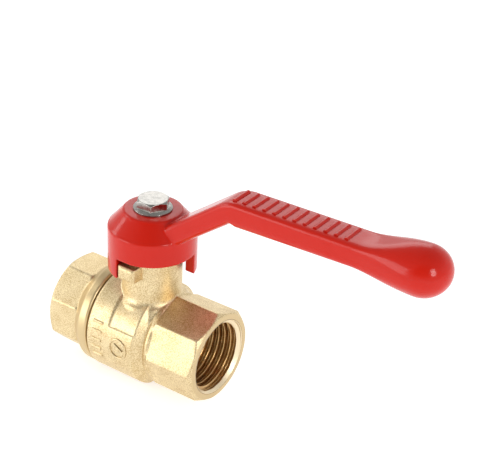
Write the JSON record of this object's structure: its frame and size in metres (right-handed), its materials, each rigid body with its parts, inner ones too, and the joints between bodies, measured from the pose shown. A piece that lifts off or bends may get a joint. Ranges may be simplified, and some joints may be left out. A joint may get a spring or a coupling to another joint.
{
  "type": "lever ball valve",
  "caption": "Brass water shutoff valve with female pipe threads at both ends, a ball turned by a stem and a cranked lever with stops for open and shut.",
  "frame": {"origin": "centre of the inlet's end face", "axes": "+X along the waterway from inlet to outlet, +Z along the stem towards the lever's bolt, +Y to the left when looking from the inlet to the outlet with the stem up"},
  "size_m": [0.1133, 0.0298, 0.0703],
  "materials": {
    "body_brass": "shot-blasted forging",
    "connector_brass": "shot-blasted forging with a turned collar",
    "ball_chrome": "polished plating",
    "seat_plastic": "machined fluoroplastic",
    "stem_brass": "turned",
    "nut_brass": "turned",
    "lever_paint": "glossy enamel",
    "bolt_steel": "bright zinc plating"
  },
  "bodies": {
    "valve": {"body": "body_brass", "end_connector": "connector_brass", "inlet_seat": "seat_plastic", "outlet_seat": "seat_plastic", "thrust_washer": "seat_plastic", "lower_packing": "seat_plastic", "upper_packing": "seat_plastic", "gland_nut": "nut_brass"},
    "lever": {"handle": "lever_paint", "handle_bolt": "bolt_steel", "stem": "stem_brass"},
    "ball": {"ball": "ball_chrome"}
  },
  "joints": [
    {"name": "lever_turn", "type": "hinge", "parent": "valve", "child": "lever", "pos_m": [0.0268, 0, 0], "axis": [0, 0, 1], "range_deg": [-90, 0]},
    {"name": "ball_turn", "type": "hinge", "parent": "valve", "child": "ball", "pos_m": [0.0268, 0, 0], "axis": [0, 0, 1], "range_deg": [-90, 0]}
  ],
  "couplings": [
    {"joint": "ball_turn", "follows": "lever_turn", "ratio": 1}
  ]
}
